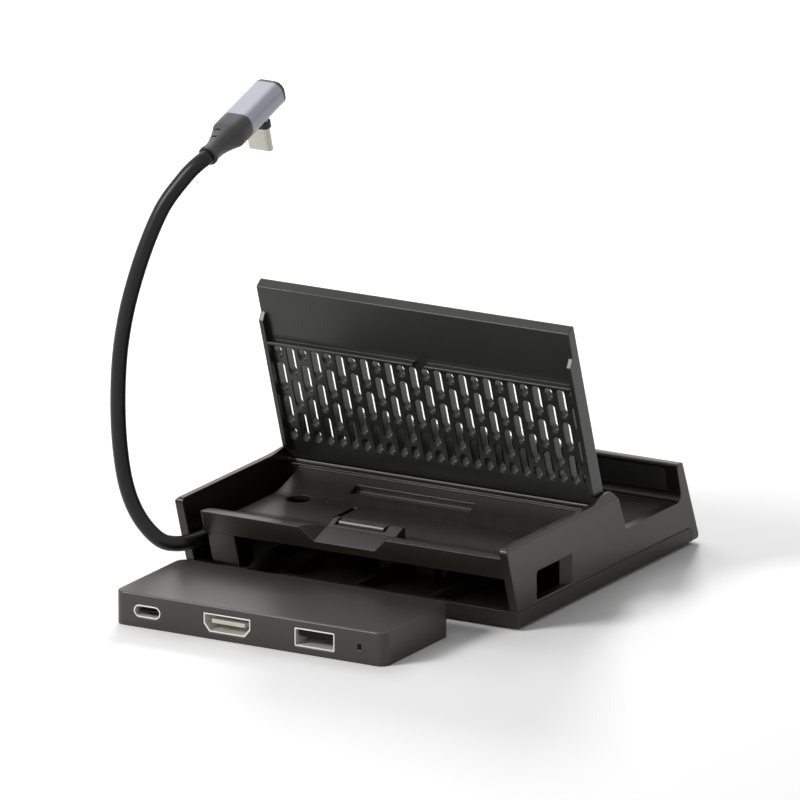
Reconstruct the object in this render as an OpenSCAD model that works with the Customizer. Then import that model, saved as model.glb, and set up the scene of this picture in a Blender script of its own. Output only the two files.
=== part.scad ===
// Handheld console dock with a fold-down back rest, and the small port hub that slides under its tray.
// Lengths are in millimetres. X runs across the dock, Y from front to back, Z up from the table.

/* [Dock shell] */
// Overall width of the dock
dock_w = 117; // [112:1:126]
// Thickness of the two side walls
wall_t = 2.8; // [2.4:0.1:3.2]
// Thickness of moulded floors and inner walls
skin_t = 2; // [1.6:0.1:2.4]
// Height of the side walls above the table
side_h = 27.2; // [26.8:0.1:29]
// Radius on the front top corners of the side walls
side_r = 1.3; // [0.8:0.1:2]
// Bevel along the outer top edge of the side walls
side_bevel = 0.9; // [0.6:0.1:1.2]
// Rise of the side walls over the hinge
hump_h = 1.4; // [1.2:0.1:1.6]
// Lean of the front edge from the upright, in degrees
front_lean = 18; // [12:1:20]
// Height of the low stretch of the side walls beside the trough
cut_h = 15.4; // [14.8:0.1:16]
// Radius in the rear corner of that low stretch
cut_r = 2.4; // [1.5:0.1:3]
// Lean of the side walls' edge in front of the trough, in degrees
cheek_lean = 23.6; // [18:0.2:26]
// Distance from the trough's front wall back to the foot of that edge
cheek_over = 3.7; // [3:0.05:5]

/* [Trough and back wall] */
// Depth of the trough from its front wall to the back wall
trough_d = 38.6; // [34:0.2:46]
// Height of the back wall
back_h = 27.8; // [26:0.1:30]
// Thickness of the back wall at its top
back_t = 3.6; // [3:0.1:4.6]
// Lean of the back wall's inner face, in degrees
back_in_lean = 15.8; // [12:0.2:18]
// Lean of the back wall's outer face, in degrees
back_out_lean = 21.6; // [19:0.2:24]
// Radius on the top edges of the back wall
back_r = 1; // [0.6:0.1:1.4]
// Thickness of the back wall's heel at the table
heel_t = 4.2; // [3.6:0.1:5]
// Thickness of the mat in the trough
mat_t = 1; // [0.7:0.1:1.4]
// Thickness of the pad on the back wall
pad_t = 1.1; // [0.8:0.1:1.4]
// Border of bare wall above and beside the pad
pad_border = 1.8; // [1.2:0.1:3]

/* [Tray] */
// Depth of the dished tray below its lip
dish_d = 5.5; // [4.5:0.1:6]
// Thickness of the tray's floor
tray_t = 1.5; // [1.2:0.1:1.8]
// Depth of the flat top of the lip
lip_t = 1.2; // [1:0.1:2]
// Length of the fall from the lip to the floor
fall_len = 22.3; // [18:0.1:26]
// Length of the rise from the floor to the hinge
rise_len = 18; // [14:0.1:20]
// Width of the gap for the cable, left of the tray
cable_gap = 5.7; // [5.4:0.1:8]
// Width of the channel for the back rest's flange, right of the tray
flange_gap = 2.8; // [2.4:0.1:3.4]
// Width of the scoop in the lip at its bottom
scoop_w = 21.6; // [16:0.2:26]
// Height of the lip's face left below the scoop
scoop_low = 2.7; // [2:0.1:3.4]
// Slope of the scoop's floor, in degrees
scoop_slope = 18.7; // [16:0.1:20]
// Extra width of the latch plate past the scoop on the right
plate_over = 2.4; // [1:0.1:4]
// Width of the latch bar in the plate
latch_w = 16; // [12:0.2:18]
// Length of the long recess in front of the hinge
recess_w = 42.3; // [30:0.1:50]
// Width of the long recess from front to back
recess_d = 4.5; // [3:0.1:6]
// Diameter of the hole at the tray's left end
finger_hole = 7.5; // [6:0.5:10]

/* [Bottom pan] */
// Height of the rubber feet under the pan
foot_h = 1; // [0.8:0.1:1.6]
// Diameter of the rubber feet
foot_dia = 9; // [7:0.5:12]
// Height of the pan at its outside
pan_h = 4.85; // [4.6:0.05:5.4]
// Thickness of the pan's floor
pan_floor = 1.8; // [1.5:0.1:2.2]
// Thickness of the pan's rim
pan_rim = 2.4; // [2:0.1:3]
// Radius of the rounded rear end of the pan's sides
pan_r = 3; // [2:0.1:3.6]
// Spacing of the runner ribs on the pan
rib_gap = 26.5; // [22:0.5:27]
// Length of the runner ribs
rib_len = 27; // [20:0.5:30]

/* [Back rest] */
// Distance of the hinge axis from the front of the dock
hinge_y = 58; // [55:0.1:64]
// Distance of the hinge axis below the top of the side walls
hinge_drop = 1; // [1:0.05:1.2]
// Distance of the hinge axis from the back rest's back
hinge_back = 1.4; // [1.3:0.05:1.5]
// Lean of the raised back rest from the upright, in degrees
rest_lean = 17.8; // [12:0.2:20]
// Length of the back rest from the hinge axis to its top edge
rest_len = 61.25; // [54:0.25:61.5]
// Thickness of the back rest
rest_t = 3.5; // [3.3:0.1:3.6]
// Height of the flanges at the back rest's ends
flange_h = 2.1; // [1.6:0.1:2.3]
// Thickness of the flanges
flange_t = 1.5; // [1.2:0.1:1.8]
// Length of the end slots, from the hinge axis
flange_len = 52.3; // [44:0.1:52.5]
// Height of the cross rib
cross_h = 2.1; // [1.6:0.1:2.3]
// Distance of the cross rib from the hinge axis
cross_s = 42.55; // [42.2:0.05:43]
// Thickness of the cross rib
cross_t = 1; // [0.8:0.1:1.2]
// Spacing of the slot columns
slot_pitch = 4.34; // [4.1:0.01:4.4]
// Width of the slots
slot_w = 2.65; // [2.2:0.05:2.8]
// Length of the slots
slot_len = 10.1; // [9:0.1:10.4]
// Distance of the middle of the field of slots from the hinge axis
slots_s = 23.15; // [22.8:0.05:23.4]
// Distance of that middle to the right of the dock's middle
slots_x = 0.5; // [0:0.1:0.6]
// Spacing of the rows of slots
slot_row = 11.87; // [11.6:0.01:11.95]
// Length of the short slots that end every other column
dot_len = 4.1; // [3:0.1:4.4]
// Width of the chamfer round the slots
slot_bevel = 0.15; // [0.1:0.05:0.25]
// Radius of the hinge pins
pin_r = 0.8; // [0.6:0.05:0.85]
// Depth of the hinge pins in the back rest
pin_in = 6; // [4:0.5:8]
// Gap under the folded back rest
fold_gap = 0.3; // [0.25:0.05:0.4]

/* [Hub] */
// Length of the hub
hub_w = 95; // [92:0.5:96]
// Depth of the hub
hub_d = 39.2; // [36:0.2:42]
// Height of the hub
hub_h = 10.5; // [10.3:0.1:10.8]
// Radius on the hub's upright corners
hub_r = 3; // [2:0.1:4]
// Radius on the hub's upper edges
hub_edge = 0.5; // [0.3:0.05:0.8]
// Thickness of the hub's walls
hub_wall = 1.4; // [1.2:0.1:1.6]
// Thickness of the hub's bottom cover
cover_t = 1.2; // [1:0.1:1.5]
// Gap from the hub's back to the dock's front
hub_away = 13.3; // [12:0.1:15]
// Distance of the hub's middle to the left of the dock's middle
hub_left = 4.9; // [2:0.1:8]
// Place of the small round-ended port, as a share of the hub's length from its left end
port_c_share = 0.1205; // [0.11:0.0005:0.14]
// Place of the video port, as a share of the hub's length from its left end
port_v_share = 0.4168; // [0.38:0.001:0.44]
// Place of the flat rectangular port, as a share of the hub's length from its left end
port_a_share = 0.74; // [0.7:0.001:0.75]
// Place of the lamp, as a share of the hub's length from its left end
lamp_share = 0.9063; // [0.89:0.001:0.93]
// Height of the ports' middle above the table
port_z = 5.1; // [4.9:0.05:5.3]
// Thickness of the circuit board
board_t = 1.2; // [1:0.1:1.6]

/* [Plug] */
// Diameter of the cable
cable_dia = 4.8; // [4.4:0.1:5]
// Length of the moulded boot behind the sleeve
boot_len = 19; // [14:0.5:24]
// Length of the metal sleeve
sleeve_len = 19.3; // [16:0.1:24]
// Width of the sleeve
sleeve_w = 10.5; // [10:0.1:12]
// Height of the sleeve
sleeve_h = 8.2; // [7.6:0.1:9]
// Radius on the sleeve's edges
sleeve_r = 3.2; // [2.4:0.1:3.6]
// Wall of the sleeve
sleeve_t = 0.7; // [0.5:0.05:0.9]
// Thickness of the end cap
cap_t = 1.2; // [0.8:0.1:1.6]
// Length of the collar under the sleeve
collar_len = 2; // [1:0.1:3]
// Length of the metal tip
tip_len = 8; // [6:0.1:9]
// Distance of the tip from the boot's cable end, along the plug
tip_at = 29.2; // [28:0.1:31]

/* [Hidden] */
$fn = 48;

// Overrun of every cut past the faces that it opens
over = 0.5;
// Clearances: parts that are laid in, parts that turn, parts that are pushed in
lay_gap = 0.15;
run_gap = 0.05;
snug_gap = 0.02;

// Heights in the dock
seam_z = foot_h + pan_h;
axis_z = side_h - hinge_drop;
hinge_front = rest_t - hinge_back;
deck_z = axis_z - hinge_front - fold_gap;
floor_z = deck_z - dish_d;
lip_low = floor_z - tray_t;
bed_z = cut_h - mat_t - run_gap * 2;

// Places across the dock
half_w = dock_w / 2;
in_x = half_w - wall_t;
rest_gap = 0.7;
rest_w = 2 * (in_x - rest_gap);
tray_left = -in_x + cable_gap;
tray_right = in_x - flange_gap;

// Leaning faces: the Y of each at a height z
seam_step = 0.3;
function front_y(z) = seam_step - (z - seam_z) * tan(front_lean);
function rest_back_y(z) = hinge_y + hinge_back / cos(rest_lean) - (z - axis_z) * tan(rest_lean);
cheek_y0 = rest_back_y(cut_h) + cheek_over;
function cheek_y(z) = cheek_y0 - (z - cut_h) * tan(cheek_lean);
back_y0 = rest_back_y(cut_h) + trough_d;
mat_end = back_y0 - cut_r / tan(45 - back_in_lean / 2);
function back_in_y(z) = back_y0 - (z - cut_h) * tan(back_in_lean);
function back_out_y(z) = back_in_y(back_h) + back_t + (back_h - z) * tan(back_out_lean);
pan_end = back_out_y(foot_h) - heel_t;

// Lip, dish and hinge ridge
// The lip's face stands a little behind the side walls' front edges
lip_step = 0.25;
function lip_face_y(z) = front_y(z) + lip_step;
lip_y = lip_face_y(deck_z);
fall_y = lip_y + lip_t;
rise_y1 = hinge_y - hinge_front + seam_step;
rise_y0 = rise_y1 - rise_len;
curve_steps = 8;
rise_power = 1.45;
function fall_z(y) = floor_z + dish_d * (1 + cos(180 * (y - fall_y) / fall_len)) / 2;
function rise_z(y) = floor_z + dish_d * pow((y - rise_y0) / rise_len, rise_power);
fall_pts = [for (i = [0 : curve_steps]) let (y = fall_y + fall_len * i / curve_steps) [y, fall_z(y)]];
rise_pts = [for (i = [0 : curve_steps]) let (y = rise_y0 + rise_len * i / curve_steps) [y, rise_z(y)]];

// Front of the hub, and its ports' places along it
hub_y = -hub_away - hub_d;
port_c_x = port_c_share * hub_w;
port_v_x = port_v_share * hub_w;
port_a_x = port_a_share * hub_w;
lamp_x = lamp_share * hub_w;

// Cable: points of its middle line, and the plug that it carries
cable_z0 = 6.2;
cable_pts = [
    [-31, -10.3, 6.2], [-31, -7, 6.6], [-31, -4, 7.6], [-31, 0, 8.6], [-31, 6, 8.8], [-31, 13, 9],
    [-32, 18, 9.3], [-34.8, 22.2, 9.8], [-39, 24.6, 10.5], [-44, 24.7, 11.3], [-48.5, 22.4, 12],
    [-51.4, 18.4, 12.7], [-52.6, 13, 13.2], [-52.7, 6, 13.5], [-52.7, 0, 13.7], [-52.8, -5, 13.9],
    [-54.2, -11, 14.2], [-58, -15, 15.6], [-63, -16.3, 20], [-67.2, -16.5, 26], [-70, -16.5, 33.5],
    [-71.6, -16.5, 43], [-72.3, -16.5, 53], [-72.2, -16.5, 64], [-71.4, -16.3, 75], [-69.7, -15.7, 86],
    [-67.3, -14.3, 97], [-64, -12, 109], [-60, -9, 120], [-55, -5, 128.5], [-52, -2.6, 132.4],
    [-50, 0.2, 134.6]];
cable_sides = 10;
plug_x = -50;
plug_y = 0.2;
plug_z = 134.6;
plug_tilt = 17;

// Shape helpers

// Points of the arc that rounds the corner b between a and c
function corner(a, b, c, r, steps = 6) =
    let (u = (a - b) / norm(a - b), v = (c - b) / norm(c - b), half = acos(u * v) / 2,
        m = (u + v) / norm(u + v), mid = b + m * r / sin(half), run = r / tan(half),
        p = b + u * run, q = b + v * run, start = p - mid, turn = 180 - 2 * half,
        way = (start[0] * (q - mid)[1] - start[1] * (q - mid)[0]) > 0 ? 1 : -1)
    [for (i = [0 : steps]) let (t = way * turn * i / steps)
        mid + [start[0] * cos(t) - start[1] * sin(t), start[0] * sin(t) + start[1] * cos(t)]];

// An outline in Y and Z, extruded along X from x0 to x1
module across(x0, x1, pts) {
    translate([x0, 0, 0]) rotate([90, 0, 90]) linear_extrude(x1 - x0) polygon(pts);
}

// A box from one corner to the other
module block(low, high) {
    translate(low) cube(high - low);
}

// A cylinder along X
module rod_x(x0, x1, y, z, r) {
    translate([x0, y, z]) rotate([0, 90, 0]) cylinder(h = x1 - x0, r = r);
}

// A flat outline with round corners, centred
module round_rect(w, d, r) {
    square([w - 2 * r, d], center = true);
    square([w, d - 2 * r], center = true);
    for (x = [-1, 1], y = [-1, 1]) translate([x * (w / 2 - r), y * (d / 2 - r)]) circle(r);
}

// Dock: upper housing

side_outline = let (
    front_low = [front_y(seam_z), seam_z],
    front_top = [front_y(side_h), side_h],
    hump_z = side_h + hump_h,
    hump_len = hump_h * 8,
    hump_pts = [for (i = [0 : curve_steps]) let (t = i / curve_steps)
        [hinge_y - hump_len * (1 - t), side_h + hump_h * (1 - cos(180 * t)) / 2]],
    cheek_top = [cheek_y(hump_z), hump_z],
    cheek_low = [cheek_y0, cut_h],
    back_low = [back_y0, cut_h],
    back_in = [back_in_y(back_h), back_h],
    back_out = [back_out_y(back_h), back_h],
    heel_out = [back_out_y(foot_h), foot_h + lay_gap],
    heel_in = [pan_end + lay_gap, foot_h + lay_gap],
    pan_corner = [pan_end + lay_gap, seam_z])
    concat([front_low], corner(front_low, front_top, cheek_top, side_r),
        hump_pts, corner([hinge_y, hump_z], cheek_top, cheek_low, side_r), corner(cheek_top, cheek_low, back_low, cut_r / 3),
        corner(cheek_low, back_low, back_in, cut_r), corner(back_low, back_in, back_out, back_r),
        corner(back_in, back_out, heel_out, back_r), corner(back_out, heel_out, heel_in, back_r),
        [heel_in], corner(heel_in, pan_corner, front_low, pan_r + lay_gap));

// The origin stands under the middle of dock and hub
origin_y = (hub_y + max([for (p = side_outline) p[0]])) / 2;

// Bevel of 45 degrees along the outer top edge of the right wall
module bevel_cut() {
    rise = hump_h + side_bevel + over;
    z = side_h - side_bevel;
    translate([0, hinge_y + hump_h * 8, 0]) rotate([90, 0, 0]) linear_extrude(hinge_y * 1.5 + hump_h * 8)
        polygon([[half_w + over, z - over], [half_w + over, z + rise], [half_w - rise, z + rise]]);
}

module side_walls() {
    for (s = [0, 1]) mirror([s, 0, 0]) difference() {
        across(in_x, half_w, side_outline);
        bevel_cut();
    }
}

// Ridge under the hinge, trough and back wall, as one bent sheet
module rear_section() {
    under = bed_z - skin_t;
    back_low = [back_y0, cut_h];
    back_in = [back_in_y(back_h), back_h];
    back_out = [back_out_y(back_h), back_h];
    heel_out = [back_out_y(foot_h), foot_h + lay_gap];
    heel_in = [pan_end + lay_gap, foot_h + lay_gap];
    across(-half_w + wall_t / 2, half_w - wall_t / 2, concat(
        [[rise_y1 - skin_t, deck_z], [rest_back_y(deck_z), deck_z], [rest_back_y(bed_z), bed_z],
            [mat_end, bed_z]],
        corner([mat_end, cut_h], back_low, back_in, cut_r),
        corner(back_low, back_in, back_out, back_r), corner(back_in, back_out, heel_out, back_r),
        corner(back_out, heel_out, heel_in, back_r),
        [heel_in, [pan_end + lay_gap, seam_z], [back_out_y(seam_z) - heel_t, seam_z + lay_gap],
            [back_out_y(under) - skin_t * 2, under], [rest_back_y(under) - skin_t, under],
            [rest_back_y(floor_z) - skin_t, floor_z], [rise_y1 - skin_t, floor_z]]));
}

// The dished tray, hollow under its lip and under its rise except at the scoop
module tray_body() {
    tray_pts = concat([[lip_face_y(lip_low), lip_low], [lip_y, deck_z]], fall_pts, rise_pts,
        [[rise_y1, lip_low]]);
    hollow_y = fall_y + fall_len * 0.5;
    front_hollow = [[lip_face_y(lip_low) + skin_t, lip_low - over],
        [lip_face_y(deck_z - skin_t) + skin_t, deck_z - skin_t], [lip_y + skin_t * 1.6, deck_z - skin_t],
        [hollow_y, lip_low], [hollow_y, lip_low - over]];
    rear_hollow = [[rise_y1 - rise_len / 3, lip_low - over], [rise_y1 - rise_len / 3, lip_low],
        [rise_y1 - skin_t, deck_z - skin_t * 2], [rise_y1 - skin_t, lip_low - over]];
    solid_x = scoop_w / 2 + dish_d;
    difference() {
        across(tray_left, in_x + over, tray_pts);
        across(tray_left + skin_t, -solid_x, front_hollow);
        across(solid_x, tray_right - skin_t, front_hollow);
        across(tray_left + skin_t, -recess_w, rear_hollow);
        across(recess_w, tray_right - skin_t, rear_hollow);
    }
}

// Channels beside the side walls that take the folded flanges
module flange_channels() {
    for (s = [0, 1]) mirror([s, 0, 0])
        block([tray_right, lip_y + skin_t * 4.8, floor_z], [in_x, hinge_y - hinge_back + seam_step, deck_z + over]);
}

// Scoop through the lip, cut along its sloping floor
module scoop_cut() {
    scoop_z = lip_low + scoop_low;
    reach = (deck_z - scoop_z) / sin(scoop_slope) + over;
    rise = deck_z - scoop_z + over * 4;
    back = over * 4;
    translate([0, lip_face_y(scoop_z), scoop_z]) rotate([scoop_slope - 90, 0, 0]) translate([0, 0, -back])
        linear_extrude(reach + back)
            polygon([[-scoop_w / 2, 0], [scoop_w / 2, 0], [scoop_w / 2 + rise, -rise], [-scoop_w / 2 - rise, -rise]]);
}

// Wedge that carries the scoop's floor on behind the lip as the latch plate
module latch_plate() {
    scoop_z = lip_low + scoop_low;
    plate_y = lip_face_y(scoop_z) + (deck_z - scoop_z) / tan(scoop_slope);
    heel_y = plate_y + skin_t * 0.8;
    bar_y = plate_y - latch_d;
    across(-scoop_w / 2, scoop_w / 2 + plate_over,
        [[lip_face_y(scoop_z) + skin_t, scoop_z], [plate_y, deck_z], [heel_y, deck_z], [heel_y, floor_z]]);
    across(-latch_w / 2, latch_w / 2,
        [[bar_y, deck_z - latch_d / 4], [bar_y + latch_d / 8, deck_z], [plate_y + over, deck_z], [bar_y + over, floor_z]]);
}

// Slits round the latch bar's front and ends
latch_d = 2.6;
module latch_slot() {
    plate_y = lip_face_y(lip_low + scoop_low) + (deck_z - lip_low - scoop_low) / tan(scoop_slope);
    slit = 1.2;
    thin = slit / 3;
    front = plate_y - latch_d - thin;
    back = plate_y + skin_t * 0.8 + over;
    low = deck_z - latch_d;
    block([-latch_w / 2 - slit, front, low], [-latch_w / 2, back, deck_z + over]);
    block([-latch_w / 2 - over, front, low], [latch_w / 2 + thin, front + thin, deck_z + over]);
    block([latch_w / 2, front, low], [latch_w / 2 + thin, back, deck_z + over]);
}

// Recess, slit, hole and dimples in the tray's floor
module tray_cuts() {
    recess_mid = -recess_w * 0.142;
    recess_z = floor_z + dish_d / 6;
    recess_y = rise_y1 - recess_d * 1.85;
    slit = [1.9, 13];
    slit_at = [-recess_w * 0.473, rise_y0 - slit[1] * 1.08];
    dimple_r = 0.6;
    dimple_gap = recess_w / 2;
    hole_at = [tray_left + finger_hole * 1.34, rise_y0 - finger_hole / 5];
    translate([recess_mid, recess_y, recess_z]) linear_extrude(dish_d)
        round_rect(recess_w, recess_d, recess_d / 10);
    translate([slit_at[0], slit_at[1] + slit[1] / 2, lip_low - over]) linear_extrude(tray_t + over * 2)
        round_rect(slit[0], slit[1], slit[0] / 4);
    translate([hole_at[0], hole_at[1], lip_low - over]) cylinder(h = tray_t + dish_d, r = finger_hole / 2);
    for (i = [-1.47, 0.43, 1.6])
        translate([dimple_gap * i, rise_y0 - dimple_r, floor_z - tray_t / 2]) cylinder(h = tray_t, r = dimple_r);
}

// Post at the left of the bay, and the bosses that take the pan's screws
post_w = 9.5;
post_d = 9;
post_x = tray_left + rest_gap;
boss_r = 3.2;
screw_r = 1.25;
screw_head_r = 2.3;
screw_head_h = 1.2;
post_screw = [post_x + post_w / 2, post_d / 2];
rear_screws = [for (x = [-1, 1], y = [rest_back_y(bed_z) + boss_r * 2, back_y0 - cut_r - boss_r * 4])
    [x * (in_x - boss_r * 2), y]];

module front_post() {
    across(post_x, post_x + post_w,
        [[lip_face_y(seam_z) + lip_step * 2, seam_z], [lip_face_y(lip_low + over) + lip_step * 2, lip_low + over], [post_d, lip_low + over],
            [post_d, seam_z]]);
    post_foot_z = foot_h + pan_floor;
    block([post_screw[0] - boss_r, pan_rim + lay_gap, post_foot_z],
        [post_screw[0] + boss_r, post_d, seam_z + over]);
}

module screw_bosses() {
    for (p = rear_screws) translate([p[0], p[1], foot_h + pan_floor])
        cylinder(h = bed_z - skin_t / 2 - foot_h - pan_floor, r = boss_r);
}

module screw_bores(extra) {
    bore_h = seam_z + dish_d / 4 - foot_h;
    for (p = concat([post_screw], rear_screws)) translate([p[0], p[1], foot_h + screw_head_h])
        cylinder(h = bore_h, r = screw_r + extra);
}

// Window through the right wall, flared at its rear jamb
win_y0 = 11.7;
win_len = 18.5;
win_flare = 3.3;
win_z0 = seam_z + 0.95;
win_h = 9.2;
win_r = 1;
module side_window() {
    translate([in_x - over, win_y0 + win_len / 2, win_z0 + win_h / 2]) rotate([90, 0, 90])
        linear_extrude(wall_t + over * 2) round_rect(win_len, win_h, win_r);
    translate([0, 0, win_z0]) linear_extrude(win_h)
        polygon([[in_x - over, win_y0 + win_len - win_r], [half_w + over, win_y0 + win_len - win_r],
            [half_w + over, win_y0 + win_len + win_flare + over], [half_w, win_y0 + win_len + win_flare],
            [in_x, win_y0 + win_len], [in_x - over, win_y0 + win_len]]);
}

// Pad on the back wall: the same outline cuts its recess, larger by the gap at its ends
pad_z0 = cut_h + (back_h - cut_h) * 0.266;
pad_z1 = pad_z0 + (back_h - cut_h) * 0.59;
module wall_pad(gap) {
    z0 = pad_z0 - gap;
    z1 = pad_z1 + gap;
    across(-in_x + pad_border - gap, in_x - pad_border + gap,
        [[back_in_y(z0) - gap, z0], [back_in_y(z1) - gap, z1], [back_in_y(z1) + pad_t + gap / 5, z1],
            [back_in_y(z0) + pad_t + gap / 5, z0]]);
}

pin_seat = 2;
module upper_housing() {
    color("#34332f") difference() {
        union() {
            side_walls();
            rear_section();
            difference() {
                tray_body();
                scoop_cut();
            }
            latch_plate();
            front_post();
            screw_bosses();
        }
        flange_channels();
        latch_slot();
        tray_cuts();
        side_window();
        wall_pad(lay_gap);
        screw_bores(0);
        for (s = [-1, 1]) rod_x(s * in_x - (s < 0 ? pin_seat : over), s * in_x + (s < 0 ? over : pin_seat),
            hinge_y, axis_z, pin_r + snug_gap);
    }
}

// Dock: bottom pan, feet and screws

module bottom_pan() {
    low_front = [0, foot_h];
    low_back = [pan_end, foot_h];
    top_back = [pan_end, seam_z];
    side = concat([[0, seam_z], low_front, low_back], corner(low_back, top_back, [0, seam_z], pan_r));
    floor_top = foot_h + pan_floor;
    color("#2b2a28") difference() {
        union() {
            difference() {
                across(-half_w, half_w, side);
                block([-half_w + pan_rim, pan_rim, floor_top],
                    [half_w - pan_rim, pan_end - pan_r - pan_rim, seam_z + over]);
            }
            pan_ribs(floor_top);
        }
        for (s = [0, 1]) mirror([s, 0, 0]) block([half_w - seam_step, -over, seam_z - seam_step],
            [half_w + over, pan_end + over, seam_z + over]);
        feet_shape(lay_gap);
        screw_bores(lay_gap);
        for (p = concat([post_screw], rear_screws)) translate([p[0], p[1], foot_h - over])
            cylinder(h = screw_head_h + over, r = screw_head_r + lay_gap);
    }
}

// Runner ribs under the hub's bay, and the stops behind it
module pan_ribs(z) {
    rib_t = 1.6;
    stop_d = 3.4;
    stop_y = pan_rim + rib_len + rib_t;
    for (i = [-1 : 1]) block([i * rib_gap + rib_t / 2 - rib_t, pan_rim - over, z - over],
        [i * rib_gap + rib_t / 2, pan_rim + rib_len, seam_z]);
    for (x = [-rib_t * 5, rib_t * 3.2]) block([x, stop_y, z - over], [x + rib_t * 4, stop_y + stop_d, seam_z + rib_t / 2]);
    translate([rib_t * 9, stop_y + stop_d / 2, z - over]) cylinder(h = seam_z - z + over, r = stop_d / 2);
}

foot_inset = 10;
foot_seat = 0.6;
module feet_shape(gap) {
    for (x = [-1, 1], y = [post_d + foot_dia * 0.6, pan_end - foot_inset])
        translate([x * (half_w - foot_inset), y, 0]) cylinder(h = foot_h + foot_seat, r = foot_dia / 2 + gap);
}

module rubber_feet() {
    color("#161616") feet_shape(0);
}

module pan_screws() {
    shaft_h = seam_z + dish_d / 4 - foot_h - screw_head_h;
    recess_r = screw_r * 0.7;
    color("#8b8d90") for (p = concat([post_screw], rear_screws)) translate([p[0], p[1], foot_h]) difference() {
        union() {
            cylinder(h = screw_head_h, r = screw_head_r);
            translate([0, 0, screw_head_h - snug_gap]) cylinder(h = shaft_h, r = screw_r - snug_gap);
        }
        translate([0, 0, -over]) cylinder(h = screw_head_h / 2 + over, r = recess_r, $fn = 6);
    }
}

// Dock: back rest, drawn upright with its hinge axis on X and turned to its lean

// One slot through the back rest with a chamfer on both faces, from s0 to s1 along it
module slot_cut(s0, s1) {
    r = slot_w / 2;
    face = rest_t / 2;
    translate([0, (hinge_back - hinge_front) / 2, 0]) rotate([90, 0, 0]) {
        translate([0, 0, -face - over]) linear_extrude(rest_t + over * 2) {
            if (s1 - s0 > slot_w) translate([-r, s0 + r]) square([slot_w, s1 - s0 - slot_w]);
            translate([0, s0 + r]) circle(r, $fn = 20);
            translate([0, s1 - r]) circle(r, $fn = 20);
        }
        for (m = [0, 1]) mirror([0, 0, m]) {
            for (s = [s0 + r, s1 - r]) translate([0, s, face - slot_bevel])
                cylinder(h = slot_bevel * 2, r1 = r, r2 = r + slot_bevel * 2, $fn = 20);
            if (s1 - s0 > slot_w) translate([0, s1 - r, 0]) rotate([90, 0, 0]) linear_extrude(s1 - s0 - slot_w)
                polygon([[-r, face - slot_bevel], [r, face - slot_bevel], [r + slot_bevel * 2, face + slot_bevel],
                    [-r - slot_bevel * 2, face + slot_bevel]]);
        }
    }
}

// Columns of slots, each other one shifted by half a row and ended by two short slots
column_count = 2 * floor((rest_w / 2 - flange_t - slot_w / 2) / slot_pitch) + 1;

module rest_slots() {
    side_count = (column_count - 1) / 2;
    dot_s = slot_row * 1.5 - (slot_len - dot_len) / 2;
    for (i = [-side_count : side_count]) translate([slots_x + i * slot_pitch, 0, 0])
        if (i % 2 == 0) {
            for (s = [-0.5, 0.5]) slot_cut(slots_s + s * slot_row - slot_len / 2, slots_s + s * slot_row + slot_len / 2);
            for (s = [-dot_s, dot_s]) slot_cut(slots_s + s - dot_len / 2, slots_s + s + dot_len / 2);
        } else {
            for (s = [-1 : 1]) slot_cut(slots_s + s * slot_row - slot_len / 2, slots_s + s * slot_row + slot_len / 2);
        }
}

module back_rest() {
    face = hinge_front;
    flange_low = face + fold_gap / 2;
    flange_pts = [[-face + over, flange_low - over], [-face, flange_low], [-face - flange_h, flange_low + flange_h],
        [-face - flange_h, flange_len - flange_h], [-face, flange_len], [-face + over, flange_len]];
    fillet_r = cross_t / 2;
    cross_pts = concat([[-face + over, cross_s - cross_t - fillet_r], [-face, cross_s - cross_t - fillet_r]],
        [[-face - fillet_r, cross_s - cross_t]], corner([-face, cross_s - cross_t],
            [-face - cross_h, cross_s - cross_t], [-face - cross_h, cross_s], cross_t / 3),
        corner([-face - cross_h, cross_s - cross_t], [-face - cross_h, cross_s], [-face, cross_s], cross_t / 3),
        [[-face + over, cross_s]]);
    notch_w = cross_h * 2;
    edge = rest_t / 8;
    top_back = rest_len + rest_t * tan(front_lean);
    top_pts = concat([[-face, 0]], [[hinge_back, 0]], corner([hinge_back, 0], [hinge_back, top_back], [-face, rest_len], edge),
        corner([hinge_back, top_back], [-face, rest_len], [-face, 0], edge));
    color("#2f2f2f") translate([0, hinge_y, axis_z]) rotate([rest_lean, 0, 0]) difference() {
        union() {
            across(-rest_w / 2, rest_w / 2, top_pts);
            rod_x(-rest_w / 2, rest_w / 2, 0, 0, hinge_front);
            for (x = [-rest_w / 2, rest_w / 2 - flange_t]) across(x, x + flange_t, flange_pts);
            for (s = [0, 1]) mirror([s, 0, 0]) across(notch_w / 2, rest_w / 2 - flange_t / 2, cross_pts);
        }
        rest_slots();
        for (s = [0, 1]) mirror([s, 0, 0]) rod_x(rest_w / 2 - pin_in - lay_gap, rest_w / 2 + over, 0, 0, pin_r + run_gap);
    }
}

module hinge_pins() {
    color("#a0a2a4") for (s = [0, 1]) mirror([s, 0, 0])
        rod_x(rest_w / 2 - pin_in, in_x + pin_seat, hinge_y, axis_z, pin_r);
}

// Dock: trough mat and back wall pad

module trough_mat() {
    color("#43464a") block([-in_x + lay_gap, rest_back_y(bed_z) + lay_gap, bed_z],
        [in_x - lay_gap, mat_end - lay_gap, bed_z + mat_t]);
}

module back_wall_pad() {
    color("#2c2c2c") wall_pad(0);
}

// Hub, drawn with its front at y 0 and its middle at x 0

module hub_place() {
    translate([-hub_left, hub_y, 0]) children();
}

cover_gap = 0.1;
board_z = 2.6;
board_top = board_z + board_t;
board_inset = 0.4;
ceiling_z = hub_h - hub_wall;
post_r = 2;
hub_posts = [for (x = [-1, 1], y = [hub_d * 0.46, hub_d - hub_wall - post_r * 2])
    [x * (hub_w / 2 - hub_wall - post_r * 2), y]];

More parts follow.
